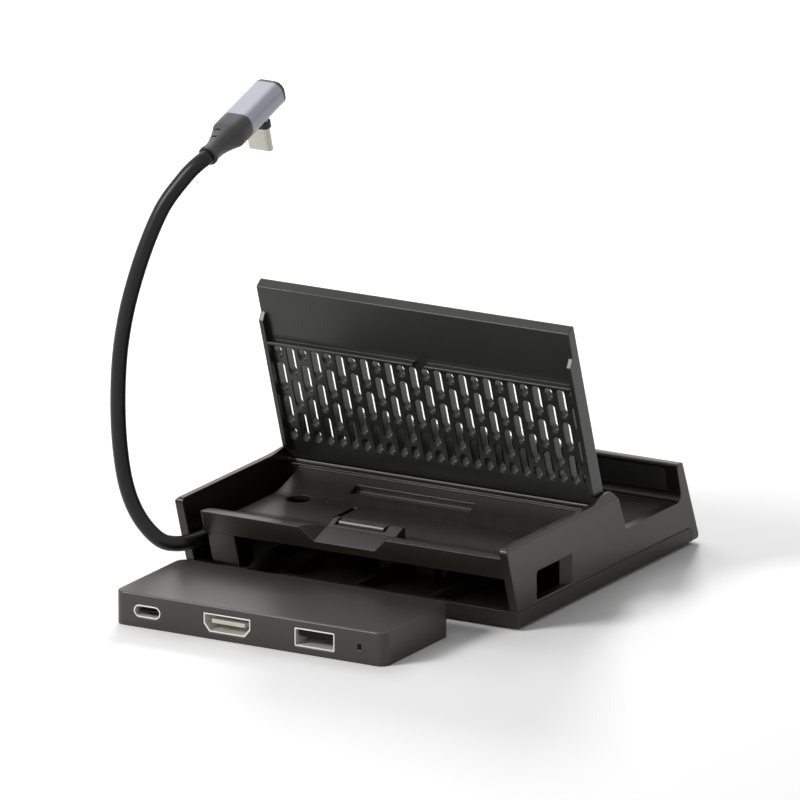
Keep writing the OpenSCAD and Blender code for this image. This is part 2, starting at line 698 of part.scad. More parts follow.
// Outlines of the ports' metal shells
port_wall = 0.4;
port_step = 0.1;
port_c = [9.4, 3.9, 8];
port_v = [16.4, 5.8, 12];
port_a = [14, 5.8, 14];
lamp_size = [1.3, 1.8, 3];
module port_c_outline(grow) {
    round_rect(port_c[0] + 2 * grow, port_c[1] + 2 * grow, port_c[1] / 2 + grow - snug_gap);
}
module port_v_outline(grow) {
    w = port_v[0] / 2 + grow;
    h = port_v[1] / 2 + grow;
    cut = 2.4;
    polygon([[-w, h], [w, h], [w, -h + cut], [w - cut * 0.8, -h], [-w + cut * 0.8, -h], [-w, -h + cut]]);
}
module port_a_outline(grow) {
    round_rect(port_a[0] + 2 * grow, port_a[1] + 2 * grow, port_wall);
}

// Stands an outline up in X and Z at the port's middle and runs it back by len
module port_run(x, y, len) {
    translate([x - hub_w / 2, y + len, port_z]) rotate([90, 0, 0]) linear_extrude(len) children();
}

module port_shell(x, len) {
    difference() {
        port_run(x, port_step, len) children(0);
        port_run(x, port_step - over, len - port_wall + over) children(1);
    }
}

// The hub's outer form: upright corners and upper edges are round
module hub_form() {
    translate([0, hub_d / 2, 0]) hull() for (x = [-1, 1], y = [-1, 1])
        translate([x * (hub_w / 2 - hub_r), y * (hub_d / 2 - hub_r), 0]) {
            cylinder(h = hub_h - hub_edge, r = hub_r, $fn = 32);
            translate([0, 0, hub_h - hub_edge]) rotate_extrude($fn = 32)
                translate([hub_r - hub_edge, 0]) circle(hub_edge, $fn = 16);
        }
}

module hub_top_shell() {
    inner_r = hub_r - hub_wall / 2;
    hole_len = hub_wall + over * 2;
    color("#55575b") hub_place() difference() {
        union() {
            difference() {
                hub_form();
                translate([0, hub_d / 2, -over]) linear_extrude(ceiling_z + over)
                    round_rect(hub_w - 2 * hub_wall, hub_d - 2 * hub_wall, inner_r);
            }
            for (p = hub_posts) translate([p[0], p[1], board_top])
                cylinder(h = ceiling_z - board_top + over, r = post_r);
        }
        port_run(port_c_x, -over, hole_len) port_c_outline(cover_gap);
        port_run(port_v_x, -over, hole_len) port_v_outline(cover_gap);
        port_run(port_a_x, -over, hole_len) port_a_outline(cover_gap);
        port_run(lamp_x, -over, hole_len) square([lamp_size[0] + cover_gap, lamp_size[1] + cover_gap], center = true);
        for (p = hub_posts) translate([p[0], p[1], board_z]) cylinder(h = ceiling_z - board_top, r = hub_screw_r);
    }
}

hub_screw_r = 0.8;
hub_screw_head = 1.5;
module hub_bottom_cover() {
    color("#2e2e30") hub_place() difference() {
        union() {
            translate([0, hub_d / 2, 0]) linear_extrude(cover_t) round_rect(hub_w - 2 * hub_wall - 2 * cover_gap,
                hub_d - 2 * hub_wall - 2 * cover_gap, hub_r - hub_wall / 2 - cover_gap);
            for (p = hub_posts) translate([p[0], p[1], 0]) cylinder(h = board_z, r = post_r);
        }
        for (p = hub_posts) translate([p[0], p[1], -over]) {
            cylinder(h = board_z + over * 2, r = hub_screw_r + cover_gap);
            cylinder(h = cover_t * 0.7 + over, r = hub_screw_head + cover_gap);
        }
    }
}

module hub_screws() {
    shaft_top = board_top + (ceiling_z - board_top) * 0.6;
    head_h = cover_t * 0.5;
    head_z = cover_t * 0.7 - head_h;
    color("#8b8d90") hub_place() for (p = hub_posts) translate([p[0], p[1], head_z]) {
        cylinder(h = head_h, r = hub_screw_head);
        cylinder(h = shaft_top - head_z, r = hub_screw_r - snug_gap);
    }
}

module hub_board() {
    notch = [[port_c_x, port_c], [port_v_x, port_v], [port_a_x, port_a]];
    color("#1f4a33") hub_place() difference() {
        translate([0, hub_d / 2, board_z]) linear_extrude(board_t) round_rect(hub_w - 2 * hub_wall - 2 * board_inset,
            hub_d - 2 * hub_wall - 2 * board_inset, hub_r - hub_wall / 2);
        for (n = notch) block([n[0] - hub_w / 2 - n[1][0] / 2 - cover_gap, 0, board_z - over],
            [n[0] - hub_w / 2 + n[1][0] / 2 + cover_gap, port_step + n[1][2] + cover_gap, board_top + over]);
        for (p = hub_posts) translate([p[0], p[1], board_z - over])
            cylinder(h = board_t + over * 2, r = hub_screw_r + cover_gap);
    }
}

module hub_chips() {
    chip_h = board_t * 0.9;
    big = hub_d * 0.23;
    small = hub_d * 0.128;
    color("#161618") hub_place() {
        for (x = [-hub_w * 0.22, hub_w * 0.12]) block([x, hub_d * 0.55, board_top], [x + big, hub_d * 0.55 + big, board_top + chip_h]);
        for (x = [-hub_w * 0.36, hub_w * 0.33]) block([x, hub_d * 0.6, board_top], [x + small, hub_d * 0.6 + small, board_top + chip_h]);
    }
}

module usb_c_port_shell() {
    color("#c9cacb") hub_place() port_shell(port_c_x, port_c[2]) {
        port_c_outline(0);
        port_c_outline(-port_wall);
    }
}

module video_port_shell() {
    color("#c9cacb") hub_place() port_shell(port_v_x, port_v[2]) {
        port_v_outline(0);
        port_v_outline(-port_wall);
    }
}

module usb_a_port_shell() {
    color("#c9cacb") hub_place() port_shell(port_a_x, port_a[2]) {
        port_a_outline(0);
        port_a_outline(-port_wall);
    }
}

// A port's tongue, fixed on the back of its shell and raised from the port's middle
module port_tongue(x, size, w, t, lift) {
    front = port_step + 0.8;
    hub_place() translate([x - hub_w / 2 - w / 2, front, port_z + lift - t / 2])
        cube([w, port_step + size[2] - port_wall - front, t]);
}

module usb_c_port_tongue() {
    color("#1b1b1b") port_tongue(port_c_x, port_c, 6.7, 0.7, 0);
}

module video_port_tongue() {
    color("#1b1b1b") port_tongue(port_v_x, port_v, 11.6, 1.2, 0.4);
}

module usb_a_port_tongue() {
    color("#26231d") port_tongue(port_a_x, port_a, 11.4, 2, 1.2);
}

module lamp_lens() {
    color("#d8dade") hub_place() translate([lamp_x - hub_w / 2 - lamp_size[0] / 2, port_step, port_z - lamp_size[1] / 2])
        cube([lamp_size[0], lamp_size[2], lamp_size[1]]);
}

// Cable and its collar at the hub

collar_r = 3.3;
collar_run = 3;
module cable_collar() {
    x = cable_pts[0][0];
    color("#1a1a1a") translate([x, -hub_away, cable_z0]) rotate([-90, 0, 0])
        cylinder(h = collar_run, r1 = collar_r, r2 = cable_dia / 2 + run_gap * 4);
}

// A smooth line through the points, with two rings to each stretch
function spline(p0, p1, p2, p3, t) =
    0.5 * ((2 * p1) + (p2 - p0) * t + (2 * p0 - 5 * p1 + 4 * p2 - p3) * t * t
        + (3 * p1 - p0 - 3 * p2 + p3) * t * t * t);
function unit(v) = v / norm(v);
cable_last = len(cable_pts) - 1;
plug_dir = [0, cos(plug_tilt), sin(plug_tilt)];
function cable_point(i) = i < 0 ? cable_pts[0] - [0, cable_dia, 0]
    : i > cable_last ? cable_pts[cable_last] + plug_dir * cable_dia : cable_pts[i];
ring_cuts = 2;
cable_line = [for (i = [0 : cable_last - 1], k = [0 : ring_cuts - 1])
    spline(cable_point(i - 1), cable_point(i), cable_point(i + 1), cable_point(i + 2), k / ring_cuts)];
cable_mids = concat(cable_line, [cable_pts[cable_last]]);
ring_last = len(cable_mids) - 1;
function ring_dir(i) = i == 0 ? [0, 1, 0] : i == ring_last ? plug_dir : unit(cable_mids[i + 1] - cable_mids[i - 1]);
// Each ring's first spoke is the one before it, turned with the line
function square_to(v, d) = unit(v - d * (v * d));
function spokes(i, last) = i > ring_last ? [] : let (s = square_to(last, ring_dir(i))) concat([s], spokes(i + 1, s));
ring_spokes = spokes(0, [1, 0, 0]);
function ring(i) = let (a = ring_spokes[i], b = cross(ring_dir(i), a))
    [for (k = [0 : cable_sides - 1]) let (t = 360 * k / cable_sides)
        cable_mids[i] + cable_dia / 2 * (a * cos(t) + b * sin(t))];

module cable() {
    points = [for (i = [0 : ring_last]) each ring(i)];
    sides = [for (i = [0 : ring_last - 1], k = [0 : cable_sides - 1])
        let (n = (k + 1) % cable_sides, a = i * cable_sides)
        [a + k, a + cable_sides + k, a + cable_sides + n, a + n]];
    ends = [[for (k = [0 : cable_sides - 1]) k],
        [for (k = [0 : cable_sides - 1]) ring_last * cable_sides + cable_sides - 1 - k]];
    color("#191919") polyhedron(points, concat(sides, ends));
}

// Plug, drawn along Y from the boot's cable end and then set at its place and tilt

module plug_place() {
    translate([plug_x, plug_y, plug_z]) rotate([plug_tilt, 0, 0]) children();
}

// The plug's rounded section, from y0 to y1 along it
module plug_run(y0, y1, inset) {
    translate([0, y1, 0]) rotate([90, 0, 0]) linear_extrude(y1 - y0)
        round_rect(sleeve_w - 2 * inset, sleeve_h - 2 * inset, sleeve_r - inset);
}

boot_full = 6;
boot_neck = 0.8;
tip_size = [8.34, 2.56];
collar_wall = 0.6;
module plug_boot() {
    sliver = 0.1;
    neck_r = cable_dia / 2 + boot_neck;
    neck_len = boot_len * 0.3;
    groove = [0.5, 0.7];
    color("#4a4c4e") plug_place() {
        difference() {
            union() {
                hull() {
                    translate([0, sliver, 0]) rotate([90, 0, 0]) cylinder(h = sliver, r = neck_r, $fn = 32);
                    translate([0, neck_len, 0]) rotate([90, 0, 0]) cylinder(h = sliver, r = neck_r, $fn = 32);
                    plug_run(boot_len - boot_full, boot_len, 0, $fn = 32);
                }
            }
            for (i = [1, 2]) translate([-sleeve_w / 2, neck_len + i * (boot_full - boot_full / 3), 0])
                block([-over, 0, sleeve_h / 3], [sleeve_w / 2.4, groove[0], sleeve_h]);
        }
        plug_run(boot_len - over, boot_len + sleeve_len, sleeve_t + run_gap);
    }
}

module plug_sleeve() {
    color("#c3c5d2") plug_place() difference() {
        plug_run(boot_len, boot_len + sleeve_len, 0);
        plug_run(boot_len - over, boot_len + sleeve_len + over, sleeve_t);
        translate([0, tip_at, -sleeve_h]) linear_extrude(sleeve_h)
            round_rect(tip_size[0] + 2 * run_gap, tip_size[1] + 2 * run_gap, tip_size[1] / 2);
    }
}

module plug_end_cap() {
    color("#3c3d40") plug_place() plug_run(boot_len + sleeve_len, boot_len + sleeve_len + cap_t, 0);
}

module plug_collar() {
    color("#1c1c1c") plug_place() translate([0, tip_at, -sleeve_h / 2 - collar_len]) linear_extrude(collar_len) difference() {
        round_rect(tip_size[0] + 2 * collar_wall, tip_size[1] + 2 * collar_wall, tip_size[1] / 2 + collar_wall - snug_gap);
        round_rect(tip_size[0] + 2 * snug_gap, tip_size[1] + 2 * snug_gap, tip_size[1] / 2);
    }
}

tip_wall = 0.3;
tip_top = -sleeve_h / 2 + sleeve_t + run_gap;
tip_low = -sleeve_h / 2 - collar_len - tip_len;
module plug_tip_shell() {
    color("#d6d6d4") plug_place() translate([0, tip_at, tip_low]) linear_extrude(tip_top - tip_low) difference() {
        round_rect(tip_size[0], tip_size[1], tip_size[1] / 2 - snug_gap);
        round_rect(tip_size[0] - 2 * tip_wall, tip_size[1] - 2 * tip_wall, tip_size[1] / 2 - tip_wall - snug_gap);
    }
}

module plug_tip_core() {
    core_low = tip_low + tip_len * 0.75;
    color("#1b1b1b") plug_place() translate([0, tip_at, core_low]) linear_extrude(tip_top - core_low)
        round_rect(tip_size[0] - 2 * tip_wall - 2 * snug_gap, tip_size[1] - 2 * tip_wall - 2 * snug_gap,
            tip_size[1] / 2 - tip_wall - snug_gap * 2);
}

translate([0, -origin_y, 0]) {
    upper_housing();
    bottom_pan();
    rubber_feet();
    pan_screws();
    back_rest();
    hinge_pins();
    trough_mat();
    back_wall_pad();
    hub_top_shell();
    hub_bottom_cover();
    hub_board();
    hub_chips();
    hub_screws();
    usb_c_port_shell();
    usb_c_port_tongue();
    video_port_shell();
    video_port_tongue();
    usb_a_port_shell();
    usb_a_port_tongue();
    lamp_lens();
    cable_collar();
    cable();
    plug_boot();
    plug_sleeve();
    plug_end_cap();
    plug_collar();
    plug_tip_shell();
    plug_tip_core();
}
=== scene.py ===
"""Looks of a handheld console dock and its port hub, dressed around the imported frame.

Lengths are written in millimetres in the dock's own frame, where y 0 is the front of the bottom pan, and are
turned to metres in the row's frame by one shift that is worked out from the hub's box.
"""

import logging
import math
from dataclasses import dataclass, field
from enum import Enum
from typing import Any

import bmesh
import bpy
from mathutils import Matrix, Vector

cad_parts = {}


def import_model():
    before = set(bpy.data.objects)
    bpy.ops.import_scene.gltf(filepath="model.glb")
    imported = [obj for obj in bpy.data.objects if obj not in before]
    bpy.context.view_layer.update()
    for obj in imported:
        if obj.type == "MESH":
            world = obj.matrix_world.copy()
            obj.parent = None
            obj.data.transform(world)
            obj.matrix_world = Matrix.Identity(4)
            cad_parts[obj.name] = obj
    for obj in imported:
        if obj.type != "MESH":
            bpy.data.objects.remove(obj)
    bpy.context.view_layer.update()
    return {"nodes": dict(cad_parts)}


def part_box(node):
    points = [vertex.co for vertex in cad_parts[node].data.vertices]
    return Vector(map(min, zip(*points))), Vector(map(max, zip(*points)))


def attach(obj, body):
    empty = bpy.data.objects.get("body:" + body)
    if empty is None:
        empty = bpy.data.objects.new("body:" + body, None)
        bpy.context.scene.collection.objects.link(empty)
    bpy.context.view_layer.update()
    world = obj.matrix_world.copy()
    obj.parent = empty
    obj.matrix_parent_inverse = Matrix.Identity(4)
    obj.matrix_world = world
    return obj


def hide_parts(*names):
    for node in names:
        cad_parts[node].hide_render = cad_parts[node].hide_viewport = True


LOG = logging.getLogger("console_dock")
MM = 0.001
# Below this a direction counts as square to an axis
TINY = 1e-9
ROOT = "root"
REST = "back_rest_body"

# Front of the hub in the dock's own frame, which places that frame in the row's
HUB_FRONT_Y = -52.5
# Where the lead ends and the plug begins in the dock's own frame, and the plug's rise in degrees
PLUG_START = (-50, 0.2, 134.6)
PLUG_TILT = 17.0

Point = tuple[float, float, float]


class FrameShift:
    """Turns points of the dock's own frame, in millimetres, into points of the row's frame, in metres."""

    def __init__(self) -> None:
        """Works out the shift along Y from the hub's box."""
        self.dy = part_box("hub_top_shell")[0][1] - HUB_FRONT_Y * MM

    def point(self, p: Point) -> Vector:
        """Places one point.

        Args:
            p: X, Y and Z in the dock's own frame, in millimetres.

        Returns:
            The same place in the row's frame, in metres.
        """
        return Vector((p[0] * MM, p[1] * MM + self.dy, p[2] * MM))


def linear(code: str) -> tuple[float, float, float, float]:
    """Turns an sRGB hex colour into linear RGBA.

    Args:
        code: Six hex digits with a leading hash.

    Returns:
        Linear red, green, blue and an alpha of 1.
    """
    values = [int(code[i:i + 2], 16) / 255 for i in (1, 3, 5)]
    r, g, b = (v / 12.92 if v <= 0.04045 else ((v + 0.055) / 1.055) ** 2.4 for v in values)
    return (r, g, b, 1.0)


def add_node(tree: bpy.types.NodeTree, kind: str, settings: dict[Any, Any] | None = None,
             links: dict[Any, bpy.types.NodeSocket] | None = None) -> bpy.types.Node:
    """Adds a node with its settings and its incoming links.

    Args:
        tree: The node tree that takes the node.
        kind: The node's type name, such as ShaderNodeBump.
        settings: Values by input name or number, or by attribute name.
        links: Output sockets by the name or number of the input that they feed.

    Returns:
        The new node.
    """
    node = tree.nodes.new(kind)
    for key, value in (settings or {}).items():
        if isinstance(key, int) or key in node.inputs:
            node.inputs[key].default_value = value
        else:
            setattr(node, key, value)
    for key, socket in (links or {}).items():
        tree.links.new(socket, node.inputs[key])
    return node


class Grain(Enum):
    """How a surface was made, which decides the pattern in its bump."""

    MOULDED = "spark-eroded mould texture"
    BLASTED = "bead-blasted and anodised metal"
    PLATED = "rolled sheet, plated"
    SMOOTH = "polished mould"
    SPECKLED = "silicone with pale flecks"


# Size of the slow drift of colour in millimetres, and how far the grain swings the roughness
DRIFT_MM = 35.0
GLOSS_SWING = 0.03
# Flecks: their spacing in grains, where a fleck's edge starts and ends in its cell, and how well it covers
FLECK_SPACING = 1.6
FLECK_EDGE = (0.16, 0.3)
FLECK_COVER = 0.75


@dataclass(frozen=True)
class Finish:
    """One finish: its colour, gloss and the real size of its texture.

    Attributes:
        name: The material's name.
        colour: Base colour as an sRGB hex code.
        roughness: Roughness of the bare surface.
        grain: The kind of texture.
        grain_mm: Size of one grain in millimetres, as drawn.
        depth_mm: Height of the grain in millimetres.
        metallic: 1 for bare metal, 0 for anything else.
        specular: Specular level, 0.5 for a plain dielectric.
        drift: Share by which the colour drifts over the piece.
        edge_mm: Radius of the soft line of light on sharp edges.
        fleck: Colour of flecks, for a speckled grain.
    """

    name: str
    colour: str
    roughness: float
    grain: Grain
    grain_mm: float
    depth_mm: float
    metallic: float = 0.0
    specular: float = 0.5
    drift: float = 0.05
    edge_mm: float = 0.25
    fleck: str = "#8a8d91"

    def build(self) -> bpy.types.Material:
        """Makes the material with its procedural nodes.

        Returns:
            The new material.
        """
        material = bpy.data.materials.new(self.name)
        material.use_nodes = True
        tree = material.node_tree
        shader = tree.nodes["Principled BSDF"]
        shader.inputs["Metallic"].default_value = self.metallic
        shader.inputs["Specular IOR Level"].default_value = self.specular
        where = add_node(tree, "ShaderNodeTexCoord").outputs["Object"]
        grain = self._grain(tree, where)
        self._colour(tree, where, shader)
        swing = {"To Min": self.roughness - GLOSS_SWING, "To Max": self.roughness + GLOSS_SWING}
        rough = add_node(tree, "ShaderNodeMapRange", swing, {"Value": grain})
        tree.links.new(rough.outputs["Result"], shader.inputs["Roughness"])
        edge = add_node(tree, "ShaderNodeBevel", {"Radius": self.edge_mm * MM, "samples": 6})
        bump = add_node(tree, "ShaderNodeBump", {"Strength": 1.0, "Distance": self.depth_mm * MM},
                        {"Height": grain, "Normal": edge.outputs["Normal"]})
        tree.links.new(bump.outputs["Normal"], shader.inputs["Normal"])
        return material

    def _grain(self, tree: bpy.types.NodeTree, where: bpy.types.NodeSocket) -> bpy.types.NodeSocket:
        """Adds the texture that bump and roughness follow.

        Args:
            tree: The material's node tree.
            where: Object coordinates.

        Returns:
            The texture's value, about 0 to 1.
        """
        detail = {Grain.MOULDED: 3.0, Grain.BLASTED: 1.0, Grain.SPECKLED: 4.0}.get(self.grain, 0.0)
        noise = add_node(tree, "ShaderNodeTexNoise", {"Scale": 1 / (self.grain_mm * MM), "Detail": detail,
                                                      "Roughness": 0.6}, {"Vector": where})
        return noise.outputs["Fac"]

    def _colour(self, tree: bpy.types.NodeTree, where: bpy.types.NodeSocket, shader: bpy.types.Node) -> None:
        """Adds the base colour with its slow drift, and flecks where the finish has them.

        Args:
            tree: The material's node tree.
            where: Object coordinates.
            shader: The shader that takes the colour.
        """
        base = linear(self.colour)
        low = tuple(c * (1 - self.drift) for c in base[:3]) + (1.0,)
        high = tuple(min(1.0, c * (1 + self.drift)) for c in base[:3]) + (1.0,)
        slow = add_node(tree, "ShaderNodeTexNoise", {"Scale": 1 / (DRIFT_MM * MM), "Detail": 1.0},
                        {"Vector": where})
        ramp = add_node(tree, "ShaderNodeValToRGB", {}, {"Fac": slow.outputs["Fac"]})
        ramp.color_ramp.elements[0].color, ramp.color_ramp.elements[1].color = low, high
        out = ramp.outputs["Color"]
        if self.grain is Grain.SPECKLED:
            spacing = self.grain_mm * FLECK_SPACING
            cells = add_node(tree, "ShaderNodeTexVoronoi", {"Scale": 1 / (spacing * MM)}, {"Vector": where})
            start, end = FLECK_EDGE
            fade = {"From Min": start, "From Max": end, "To Min": FLECK_COVER, "To Max": 0.0}
            spots = add_node(tree, "ShaderNodeMapRange", fade, {"Value": cells.outputs["Distance"]})
            mix = add_node(tree, "ShaderNodeMix", {"data_type": "RGBA"}, {0: spots.outputs["Result"]})
            tree.links.new(out, mix.inputs[6])
            mix.inputs[7].default_value = linear(self.fleck)
            out = mix.outputs[2]
        tree.links.new(out, shader.inputs["Base Color"])


# The finishes, each with what it gives the eye
FINISHES = {
    # Charcoal ABS from a spark-eroded mould: matt, even, a little warm in the shade
    "housing": Finish("moulded_abs_charcoal", "#211e17", 0.3, Grain.MOULDED,
                      0.55, 0.012, specular=0.42, edge_mm=0.5),
    # The same plastic in the pan
    "pan": Finish("moulded_abs_pan", "#221f1b", 0.44, Grain.MOULDED, 0.55, 0.015, specular=0.34, edge_mm=0.3),
    # Back rest in the same plastic, a shade more neutral
    "rest": Finish("moulded_abs_back_rest", "#242422", 0.31, Grain.MOULDED,
                   0.5, 0.012, specular=0.45, edge_mm=0.45),
    # Grey-brown silicone mat, dull, with flecks a little paler than it
    "mat": Finish("silicone_mat_flecked", "#292725", 0.78, Grain.SPECKLED,
                  0.7, 0.03, specular=0.16, fleck="#45433f"),
    # Matt black silicone pad
    "pad": Finish("silicone_pad_black", "#1d1d1d", 0.75, Grain.MOULDED, 0.6, 0.03),
    # Feet: matt black rubber
    "foot": Finish("foot_rubber_black", "#141414", 0.85, Grain.MOULDED, 0.5, 0.03),
    # Hub: dark grey anodised aluminium, finely blasted, satin
    "hub": Finish("anodised_aluminium_grey", "#403e3b", 0.32, Grain.BLASTED,
                  0.35, 0.006, metallic=0.33, edge_mm=0.45),
    # Hub's bottom cover: plain dark plastic
    "cover": Finish("moulded_abs_cover", "#202022", 0.55, Grain.MOULDED, 0.5, 0.02),
    # Port shells: bright nickel plate
    "nickel": Finish("nickel_plate_bright", "#efede7", 0.25, Grain.PLATED,
                     1.2, 0.002, metallic=0.25, edge_mm=0.1),
    # Video port's contacts, which fill its opening: pale plated metal
    "contacts": Finish("contact_block_plated", "#c9c6bd", 0.35, Grain.PLATED,
                       0.5, 0.05, metallic=0.4, edge_mm=0.1),
    # Port tongues: black glass-filled plastic
    "tongue": Finish("moulded_pbt_black", "#0c0b09", 0.5, Grain.MOULDED,
                     0.3, 0.01, specular=0.15, edge_mm=0.1),
    # Plug sleeve: pale anodised aluminium, cool
    "sleeve": Finish("anodised_aluminium_pale", "#8f9099", 0.36, Grain.BLASTED,
                     0.3, 0.004, metallic=0.75, edge_mm=0.4),
    # Boot: dark grey soft moulding
    "boot": Finish("moulded_tpe_grey", "#2b2b2c", 0.42, Grain.MOULDED, 0.4, 0.008, edge_mm=0.4),
    # End cap: polished dark plastic
    "cap": Finish("polished_abs_dark", "#232325", 0.25, Grain.SMOOTH, 2.0, 0.002),
    # Collar under the sleeve and at the hub: black PVC
    "collar": Finish("moulded_pvc_black", "#151515", 0.45, Grain.MOULDED, 0.5, 0.01, edge_mm=0.15),
    # Plug tip: plated steel, bright
    "tip": Finish("plated_steel_bright", "#b4b2a8", 0.26, Grain.PLATED,
                  1.0, 0.002, metallic=0.85, edge_mm=0.3),
    # Cable jacket: black PVC with a soft shine
    "jacket": Finish("pvc_jacket_black", "#0d0d0d", 0.34, Grain.MOULDED, 0.8, 0.01, specular=0.3),
    # Screws and pins: zinc-plated steel
    "steel": Finish("zinc_plated_steel", "#9c9ea0", 0.35, Grain.PLATED,
                    0.6, 0.004, metallic=1.0, edge_mm=0.1),
    # Board: green solder lacquer
    "board": Finish("solder_lacquer_green", "#1c4a31", 0.3, Grain.SMOOTH, 1.5, 0.01),
    # Chips: black epoxy
    "chip": Finish("moulded_epoxy_black", "#131315", 0.6, Grain.MOULDED, 0.3, 0.01, edge_mm=0.1),
    # Lamp lens: clear diffusing plastic, unlit
    "lens": Finish("acrylic_lens_smoked", "#060606", 0.15, Grain.SMOOTH,
                   1.0, 0.001, specular=0.12, edge_mm=0.1),
}

# The finish that each node of the frame wears
NODE_FINISH = {
    "upper_housing": "housing", "bottom_pan": "pan", "rubber_feet": "foot", "pan_screws": "steel",
    "back_rest": "rest", "hinge_pins": "steel", "trough_mat": "mat", "back_wall_pad": "pad",
    "hub_top_shell": "hub", "hub_bottom_cover": "cover", "hub_board": "board", "hub_chips": "chip",
    "hub_screws": "steel", "usb_c_port_shell": "nickel", "usb_c_port_tongue": "tongue",
    "video_port_shell": "nickel", "video_port_tongue": "contacts", "usb_a_port_shell": "nickel",
    "usb_a_port_tongue": "tongue", "lamp_lens": "lens", "cable_collar": "collar", "cable": "jacket",
    "plug_boot": "boot", "plug_sleeve": "sleeve", "plug_end_cap": "cap", "plug_collar": "collar",
    "plug_tip_shell": "tip", "plug_tip_core": "tongue",
}


class Wardrobe:
    """Keeps one material for each finish."""

    def __init__(self) -> None:
        """Builds every material once."""
        self.materials = {key: finish.build() for key, finish in FINISHES.items()}

    def dress(self, obj: bpy.types.Object, key: str) -> None:
        """Gives a piece one finish all over.

        Args:
            obj: The piece.
            key: The finish's key.
        """
        if not obj.material_slots:
            obj.data.materials.append(self.materials[key])
        for slot in obj.material_slots:
            slot.material = self.materials[key]


